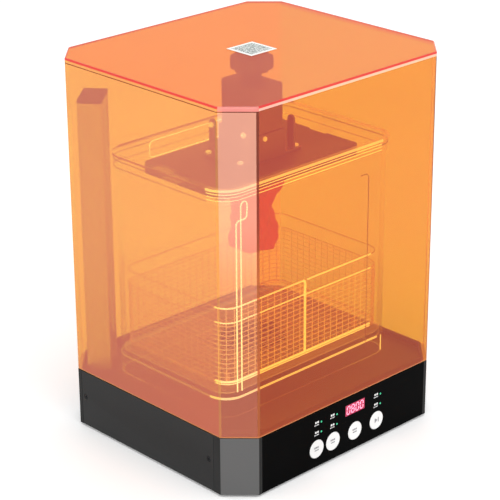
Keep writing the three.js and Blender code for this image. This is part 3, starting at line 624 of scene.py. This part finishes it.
def make_bucket():
    clear, inside, edge, soft, shade, floor = range(6)

    def plan(out, z):
        return at(rounded(BUCKET_X + out, BUCKET_Y + out, BUCKET_R + out, 8), z)

    def front_part(points, per=9):
        """The front left corner and the front wall of a rounded loop."""
        return points[3 * per:] + points[:1]

    # Bands in the edge look are a glowing painted highlight on the front; the soft look is a dimmer painted
    # highlight on the sides and back, the shade look painted shade.
    bright = by_side(edge, clear, soft, soft)
    faint = by_side(edge, soft, soft, soft)
    shape = Shape()
    outer = [plan(-0.4, BUCKET_LOW), plan(0, BUCKET_LOW + 0.4), plan(0, 82.5), plan(0.5, 83.2),
             plan(0.5, 84.6), plan(0, 85.2), plan(0, 288.0), plan(1.4, 288.8), plan(1.4, 300.4),
             plan(3.0, 301.0), plan(3.0, 303.1), plan(2.6, 303.5)]
    shape.loft(outer, [clear, clear, bright, bright, bright, clear, faint, clear, faint,
                       by_side(edge, soft, shade, shade), faint], (False, False))
    inner = [plan(2.6, 303.5), plan(-2.1, 303.5), plan(-2.5, 303.1), plan(-2.5, 90.0),
             plan(-3.4, 87.9), plan(-5.5, FLOOR_TOP)]
    shape.loft(inner, [by_side(soft, soft, clear, clear), faint, inside, soft, soft], (False, True), floor)
    under = [plan(-0.4, BUCKET_LOW), plan(-2.5, BUCKET_LOW), plan(-2.5, 83.0), plan(-4.0, 84.0)]
    shape.loft(under, [clear, inside, clear], (False, True), inside)
    piece("bucket_body", shape, [look.mat for look in (BUCKET, BUCKET_INSIDE, BUCKET_EDGE_HIGHLIGHT, BUCKET_SOFT_HIGHLIGHT,
                                                       BUCKET_SHADE, BUCKET_FLOOR)],
          "base", ["wash_bucket"])

    beads = Shape()
    # Thin rods below the rim: a glowing painted highlight along the front, painted shade on the sides and
    # back.
    for z, r in ((298.2, 0.45), (295.2, 0.35), (291.8, 0.4)):
        beads.tube(front_part(plan(1.45, z)), r, 6)
    beads.tube(plan(1.45, 297.0)[:28], 0.4, 6, slot=1)
    beads.tube(plan(1.45, 289.5)[18:28], 0.4, 6, slot=1)
    # The moulded outline on the front wall: two upright beads joined by a hook at the top left. The left
    # bead glows as a painted highlight, the right one is painted shade.
    left = [(-103.5, 90.5), (-103.5, 180), (-103.5, 266)]
    left += arc(-99.5, 266, 4.0, 180, 90) + arc(-94.0, 274, 4.0, 270, 350)
    left += [(-89.6, 280)] + arc(-93.8, 284, 4.2, 0, 180) + [(-98.0, 180), (-98.0, 90.5)]
    right = [(80.5, 78), (80.5, 180), (80.5, 266)] + arc(75.5, 266, 5.0, 0, 90) + [(69, 271)]
    beads.tube([front_wall(x, z, 0.25) for x, z in left], 0.7, 8)
    beads.tube([front_wall(x, z, 0.25) for x, z in right], 0.4, 6, slot=1)
    # A glowing rod on the skirt's right corner: a painted highlight on that corner.
    beads.tube([front_wall(105.5, 66, 0.1), front_wall(105.5, 83, 0.1)], 0.6, 6)
    # A shallow handle recess moulded in the rear wall, its outline drawn as a glowing rod: a painted
    # highlight.
    grip = arc(-60, 294.5, 4.5, 180, 90) + arc(60, 294.5, 4.5, 90, 0)
    grip += arc(60, 286, 4.5, 0, -90) + arc(-60, 286, 4.5, 270, 180)
    beads.tube([Vector((x, BUCKET_Y - 2.4, z)) for x, z in grip], 0.45, 6, True)
    piece("bucket_beads", beads, [BUCKET_EDGE_HIGHLIGHT.mat, BUCKET_SHADE.mat], "base", merge=False)


make_bucket()


# ------------------------------------------------------------------ wash basket
def make_basket():
    pitch_x, pitch_z = 9.0, 5.0
    low, second, top = BASKET_LOW - 1.0, 161.0, BASKET_TOP - 1.0
    x_out, y_out = BASKET_X - 1.0, BASKET_Y - 1.0
    steps = 5
    wires, rails = Shape(), Shape()

    def ring(z, inset=0.0):
        return at(rounded(x_out - inset, y_out - inset, BASKET_R - inset, steps), z)

    def split_ring(shape, points, radius, sides=6):
        """The front of a loop in a glowing painted highlight, the rest of it in a dimmer one."""
        shape.tube(points[3 * (steps + 1):] + points[:1], radius, sides)
        shape.tube(points[:3 * (steps + 1) + 1], radius * 0.8, sides, slot=1)

    z = low + 5.0
    while z < second - 3:
        split_ring(wires, ring(z), 0.5)
        z += pitch_z
    split_ring(rails, ring(second), 0.7, 8)
    split_ring(rails, ring(low), 1.2, 8)
    split_ring(rails, ring(low - 2.6), 0.6, 6)
    # The top rail is open at the gate bar in the front wall.
    loop = ring(top)
    rails.tube([Vector((1.5, -y_out, top))] + loop[:1], 0.85, 8)
    rails.tube(loop[:3 * (steps + 1) + 1], 0.7, 8, slot=1)
    rails.tube(loop[3 * (steps + 1):] + [Vector((-4.2, -y_out, top))], 0.85, 8)
    bar = [Vector((x, -y_out, z)) for x, z in
           ((-4.2, top), (-2.4, top - 1.0), (-1.8, top - 3.5), (-1.8, 140), (-1.8, low))]
    rails.tube(bar, 1.3, 8)
    # Upright wires; the half of the front left of the bar is meshed up to the top rail.
    count = int((x_out - BASKET_R) // pitch_x)
    for side in (-1, 1):
        for k in range(-count, count + 1):
            x = k * pitch_x
            if side < 0 and abs(x + 1.8) < 2:
                continue
            high = top if side < 0 and x < -2 else second
            y = side * y_out
            wires.tube([(x, y, low), (x, y, high)], 0.45, 6, slot=0 if side < 0 else 1)
    for k in range(2):
        z = second + 5.4 + k * 5.2
        wires.tube([(-1.8, -y_out, z), (-x_out + BASKET_R, -y_out, z)], 0.5, 6)
    rows = int((y_out - BASKET_R) // pitch_x)
    for side in (-1, 1):
        for k in range(-rows, rows + 1):
            y = k * pitch_x
            wires.tube([(side * x_out, y, low), (side * x_out, y, second)], 0.45, 6, slot=1)
    for cx in (-1, 1):
        for cy in (-1, 1):
            near = cx < 0 and cy < 0
            for a in (15, 45, 75):
                x = cx * (x_out - BASKET_R + BASKET_R * math.cos(math.radians(a)))
                y = cy * (y_out - BASKET_R + BASKET_R * math.sin(math.radians(a)))
                wires.tube([(x, y, low), (x, y, top if near else second)], 0.45, 6, slot=0 if near else 1)
    # The floor's mesh.
    for k in range(-count, count + 1):
        x = k * pitch_x
        wires.tube([(x, -y_out, low), (x, y_out, low)], 0.5, 6, slot=1)
    for k in range(-rows, rows + 1):
        y = k * pitch_x
        wires.tube([(-x_out, y, low + 0.4), (x_out, y, low + 0.4)], 0.5, 6, slot=1)
    for sx in (-1, 1):
        for sy in (-1, 1):
            rails.turned([(0.2, 89.5), (3.0, 89.6), (3.4, 90.4), (3.0, low)],
                         (sx * 92, sy * 58, 0), sides=12, slots=1)
    # The wires and rails glow, brightest at the front: painted highlights, fainter on the sides, back and
    # floor.
    piece("basket_mesh", wires, [WIRE.mat, WIRE_SOFT.mat], "base", ["wash_basket"],
          merge=False)
    piece("basket_rails", rails, [WIRE_BRIGHT.mat, WIRE_SOFT.mat], "base", merge=False)


make_basket()


# ------------------------------------------------------------------ platform bracket, screws and knob
def make_bracket():
    """A folded housing on a foot sheet, with an upright ear at each corner."""
    low, high, ear_top = PLATE_TOP + 0.3, 321.0, 330.0
    x, y = 20.0, 29.5
    shape = Shape()

    def plan(inset, z):
        return at(rounded(x - inset, y - inset, 3 - min(inset, 1.5), 4), z)

    outside = [plan(0, low), plan(0, high - 1.2), plan(0.4, high - 0.4), plan(1.2, high)]
    shape.loft(outside, 0, (False, True))
    shape.loft([plan(2.5, low), plan(2.5, high - 2.5)], 0, (False, True))
    shape.loft([plan(0, low), plan(2.5, low)], 0, (False, False))
    sheet = rounded(43.5, 28.0, 3, 4)
    shape.loft([at(sheet, low), at(sheet, low + 2.5)])
    for side in (-1, 1):
        for end in (-1, 1):
            middle = end * 23
            outline = [(middle - 4.5, low + 1)] + arc(middle, ear_top - 4.5, 4.5, 180, 0, 10)
            outline += [(middle + 4.5, low + 1)]
            shape.loft([[Vector((side * d, py, pz)) for py, pz in outline] for d in (31.0, 33.5)])
    piece("bracket_folded", shape, [ANODISED.mat], "base", ["plate_bracket"], bevel=0.4)


make_bracket()


def socket_screw(shape, centre, axis, radius, height, facing=1):
    """A cap screw with a domed rim and a hexagonal recess, pointing along an axis."""
    profile = [(radius, 0), (radius, height * 0.7), (radius * 0.9, height * 0.92), (radius * 0.72, height)]
    profile = [(r, h * facing) for r, h in profile]
    if axis == "Z":
        make = lambda r, a, h: Vector((r * math.cos(a), r * math.sin(a), h))
    elif axis == "X":
        make = lambda r, a, h: Vector((h, r * math.cos(a), r * math.sin(a)))
    else:
        make = lambda r, a, h: Vector((r * math.cos(a), h, r * math.sin(a)))
    sides = 24
    rings = []
    for r, h in profile:
        rings.append([make(r, 2 * math.pi * k / sides, h) + Vector(centre) for k in range(sides)])

    def hexagon(k, size):
        a = 2 * math.pi * k / sides
        local = (a % (math.pi / 3)) - math.pi / 6
        return size * math.cos(math.pi / 6) / math.cos(local)

    for depth in (height, height * 0.45):
        rings.append([make(hexagon(k, radius * 0.55), 2 * math.pi * k / sides, depth * facing)
                      + Vector(centre) for k in range(sides)])
    shape.loft(rings)


def make_screws():
    seat = PLATE_TOP + 0.3 + 2.5 + 0.3
    for end_name, end in (("front", -1), ("rear", 1)):
        for side_name, side in (("left", -1), ("right", 1)):
            shape = Shape()
            x, y = side * 38.5, end * 23.0
            socket_screw(shape, (x, y, seat), "Z", 3.1, 2.2)
            shape.turned([(1.5, PLATE_TOP + 0.5), (1.5, seat + 0.5)], (x, y, 0), sides=12)
            piece(f"tab_screw_{end_name}_{side_name}", shape, [BRIGHT.mat], "base",
                  [f"bracket_screw_{end_name}_{side_name}"])
    extra = Shape()
    for side in (-1, 1):
        for y in (-23, 23):
            socket_screw(extra, (side * 33.5, y, 324), "X", 3.0, 2.2, side)
    for end in (-1, 1):
        socket_screw(extra, (-11.5, end * 29.5, 316.5), "Y", 2.6, 1.8, end)
    piece("bracket_face_screws", extra, [BRIGHT.mat], "base")
    for side_name, side in (("left", -1), ("right", 1)):
        for row, y in (("front", -91.0), ("rear", 96.5)):
            low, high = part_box(f"{side_name}_panel_screw_{row}")
            inner = (high.x if side < 0 else low.x) / MM
            outer = (low.x if side < 0 else high.x) / MM
            z = (low.z + high.z) / 2 / MM
            head = Shape()
            reach = abs(outer - inner)
            socket_screw(head, (outer - side * 1.4, y, z), "X", 2.5, 1.4, side)
            start = inner if side > 0 else inner - reach + 1.2
            head.turned([(1.5, 0), (1.5, reach - 1.2)], (start, y, z), "X", 12)
            piece(f"{side_name}_side_screw_{row}", head, [BLACK_STEEL.mat], "base",
                  [f"{side_name}_panel_screw_{row}"])


make_screws()


def make_knob():
    """A hand knob with eight finger lobes, a stepped top and a collar."""
    lobes = 8

    def wave(depth):
        return lambda a: 1 - depth * (0.5 - 0.5 * math.cos(lobes * a)) ** 1.6

    shape = Shape()
    steps = 96
    profile = [(19.0, 379.5, 0.14), (20.6, 379.9, 0.19), (21.4, 381.5, 0.22), (21.5, 391.5, 0.22),
               (20.9, 393.2, 0.20), (19.0, 394.3, 0.14), (15.5, 394.5, 0.02), (14.6, 394.1, 0.0),
               (14.2, 393.0, 0.0), (6.0, 393.0, 0.0), (5.4, 393.6, 0.0), (0.4, 393.7, 0.0)]
    rings = []
    for r, z, depth in profile:
        f = wave(depth)
        rings.append([Vector((r * f(a) * math.cos(a), r * f(a) * math.sin(a), z))
                      for a in (2 * math.pi * k / steps for k in range(steps))])
    shape.loft(rings)
    shape.turned([(10.0, 367.8), (10.5, 368.3), (10.5, 371.5), (9.9, 372.0), (9.9, 376.5), (11.5, 379.6),
                  (8.0, 379.8)], sides=40)
    piece("hand_knob", shape, [KNOB.mat], "clamp_knob", ["lock_knob"])


make_knob()


# ------------------------------------------------------------------ the print left on the platform
def make_print():
    """A twisted five-sided vase hung by thin supports from a raft: a generic test print."""
    shape = Shape()
    high, low = PLATE_LOW - 0.3, 192.0
    shape.turned([(20, high - 1.6), (22, high - 1.4), (23, high)], sides=36)
    count, rows = 60, 40
    top = high - 10
    rings = []
    for row in range(rows + 1):
        t = row / rows
        z = low + t * (top - low)
        body = 17 + 13 * t + 5.0 * math.cos((t - 0.10) * 2 * math.pi)
        ring = []
        for k in range(count):
            a = 2 * math.pi * k / count
            lobe = 1 + 0.12 * math.cos(5 * (a - 1.9 * t)) + 0.03 * math.cos(15 * (a + 1.2 * t))
            ring.append(Vector((body * lobe * math.cos(a), body * lobe * math.sin(a), z)))
        rings.append(ring)
    shape.loft(rings)
    for k in range(10):
        a = 2 * math.pi * k / 10
        for r, lean in ((17.0, 0.6), (9.0, -1.2)):
            x, y = r * math.cos(a), r * math.sin(a)
            middle = (x + lean, y - lean, (top + high) / 2)
            shape.tube([(x, y, top - 2.0), middle, (x, y, high - 1.0)], 0.9, 6)
    piece("test_print", shape, [RESIN.mat], "base", ["sample_print"], merge=False)


make_print()


# ------------------------------------------------------------------ control panel
def make_buttons():
    for name, x in BUTTONS.items():
        shape = Shape()
        profile = [(BUTTON_R, 3.0), (BUTTON_R, 0.55), (9.75, 0.15), (9.3, 0.0), (8.4, 0.12), (4.0, 0.30),
                   (0.3, 0.34)]
        rings = []
        for r, h in profile:
            rings.append([Vector((x + r * math.cos(a), FRONT_Y + h, BUTTON_Z + r * math.sin(a)))
                          for a in (2 * math.pi * k / 48 for k in range(48))])
        shape.loft(rings)
        for r, first, last in ((11.3, 2.3, 3.5), (2.5, 3.0, 7.8)):
            shape.turned([(r, first), (r, last)], (x, FRONT_Y, BUTTON_Z), "Y", 32)
        marks = Shape()
        y0, y1 = FRONT_Y - 0.02, FRONT_Y + 0.25
        if name == "start":
            tri = [(-1.6, -2.6), (2.4, 0.0), (-1.6, 2.6)]
            marks.loft([[Vector((x + px - 0.6, y, BUTTON_Z + pz)) for px, pz in tri] for y in (y0, y1)], 1)
            marks.box((x + 2.6, y0, BUTTON_Z - 2.6), (x + 3.5, y1, BUTTON_Z + 2.6), 1)
        else:
            for dx, w in ((-2.6, 1.7), (-0.4, 1.7), (1.9, 1.7)):
                marks.box((x + dx - w / 2, y0, BUTTON_Z + 0.8), (x + dx + w / 2, y1, BUTTON_Z + 2.4), 1)
            for dx, w in ((-2.4, 1.0), (-1.0, 1.2), (0.6, 1.0), (2.1, 1.2)):
                marks.box((x + dx - w / 2, y0, BUTTON_Z - 1.9), (x + dx + w / 2, y1, BUTTON_Z - 0.9), 1)
        shape.add(marks.verts, marks.faces, 1)
        piece(f"{name}_cap", shape, [WHITE.mat, GREY_PRINT.mat], f"{name}_button",
              [f"button_{name}"], merge=False)


make_buttons()


def make_panel_print():
    """Two rows of short printed strokes beside each light, with no words."""
    shape = Shape()
    y0, y1 = FRONT_Y - 0.04, FRONT_Y + 0.05
    for name, x in LED_COLUMNS.items():
        for z in LED_ROWS:
            end = x - 3.6
            for k in range(2):
                shape.box((end - 5.6 + k * 3.0, y0, z + 0.4), (end - 3.4 + k * 3.0, y1, z + 2.5))
            for k, w in enumerate((1.2, 0.9, 1.3, 0.8)):
                start = end - 6.4 + k * 1.75
                shape.box((start, y0, z - 2.0), (start + w, y1, z - 0.9))
    piece("panel_captions", shape, [PRINT.mat], "base", merge=False)


make_panel_print()

SEGMENTS = {"0": "abcdef", "8": "abcdefg"}


def make_digits():
    shape = Shape()
    y0, y1 = FRONT_Y + 0.33, FRONT_Y + 0.6
    w, h, t, lean = 4.0, 8.4, 1.0, 0.08
    for index, digit in enumerate("0800"):
        cx = DISPLAY_X + (index - 1.5) * 6.5
        bars = {"a": (-w / 2, h / 2, w / 2, h / 2), "g": (-w / 2, 0, w / 2, 0),
                "d": (-w / 2, -h / 2, w / 2, -h / 2), "f": (-w / 2, 0, -w / 2, h / 2),
                "b": (w / 2, 0, w / 2, h / 2), "e": (-w / 2, -h / 2, -w / 2, 0),
                "c": (w / 2, -h / 2, w / 2, 0)}
        for letter in SEGMENTS[digit]:
            ax0, az0, ax1, az1 = bars[letter]
            a, b = Vector((ax0, 0, az0)), Vector((ax1, 0, az1))
            along = (b - a).normalized()
            across = Vector((-along.z, 0, along.x)) * t / 2
            a, b = a + along * 0.35, b - along * 0.35
            outline = [a, a + along * 0.5 + across, b - along * 0.5 + across, b,
                       b - along * 0.5 - across, a + along * 0.5 - across]
            ring = [Vector((cx + p.x + p.z * lean, 0, DISPLAY_Z + p.z)) for p in outline]
            shape.loft([[Vector((p.x, y, p.z)) for p in ring] for y in (y0, y1)])
    piece("display_digits", shape, [DIGIT.mat], "base", merge=False)


make_digits()


# ------------------------------------------------------------------ floor, light and camera
def make_stage():
    mesh = bpy.data.meshes.new("studio_floor")
    half, steps = 5.0, 20
    row = steps + 1
    verts = [(-half + 2 * half * i / steps, -half + 2 * half * j / steps, 0.0)
             for j in range(row) for i in range(row)]
    faces = [(j * row + i, j * row + i + 1, (j + 1) * row + i + 1, (j + 1) * row + i)
             for j in range(steps) for i in range(steps)]
    mesh.from_pydata(verts, [], faces)
    mesh.materials.append(FLOOR.mat)
    floor = bpy.data.objects.new("studio_floor", mesh)
    bpy.context.scene.collection.objects.link(floor)
    world = bpy.data.worlds.new("studio")
    world.use_nodes = True
    back = world.node_tree.nodes["Background"]
    back.inputs["Color"].default_value = (1, 1, 1, 1)
    back.inputs["Strength"].default_value = 1.0
    bpy.context.scene.world = world


def area_light(name, azimuth, elevation, distance, size, power, aim=(0, 0, 0.2)):
    """A soft rectangular lamp that looks at the object."""
    a, e = math.radians(azimuth), math.radians(elevation)
    toward = Vector((math.sin(a) * math.cos(e), -math.cos(a) * math.cos(e), math.sin(e)))
    place = toward * distance + Vector(aim)
    data = bpy.data.lights.new(name, "AREA")
    data.shape, data.size, data.size_y, data.energy = "RECTANGLE", size[0], size[1], power
    lamp = bpy.data.objects.new(name, data)
    lamp.location = place
    lamp.rotation_euler = (place - Vector(aim)).to_track_quat("Z", "Y").to_euler()
    bpy.context.scene.collection.objects.link(lamp)


make_stage()
area_light("key_light", -20, 55, 2.2, (1.4, 1.0), 9)
area_light("corner_light", -45, 6, 2.3, (0.5, 0.9), 9)
area_light("fill_light", 60, 35, 2.4, (1.2, 1.2), 3)


def make_camera():
    data = bpy.data.cameras.new("camera")
    data.lens, data.sensor_width = 134.64, 36.0
    data.clip_start, data.clip_end = 0.05, 30.0
    a, e, roll = math.radians(-43.937), math.radians(22.561), math.radians(-0.341)
    back = Vector((math.sin(a) * math.cos(e), -math.cos(a) * math.cos(e), math.sin(e)))
    target = Vector((-96.626, -96.167, 242.5)) * MM
    camera = bpy.data.objects.new("camera", data)
    camera.location = target + back * 1.771756
    camera.rotation_mode = "QUATERNION"
    camera.rotation_quaternion = back.to_track_quat("Z", "Y") @ Quaternion((0, 0, 1), roll)
    bpy.context.scene.collection.objects.link(camera)
    bpy.context.scene.camera = camera


make_camera()
bpy.context.scene.view_settings.view_transform = "Standard"
bpy.context.scene.cycles.transparent_max_bounces = 32


def corners(box):
    return [list(corner) for corner in box]
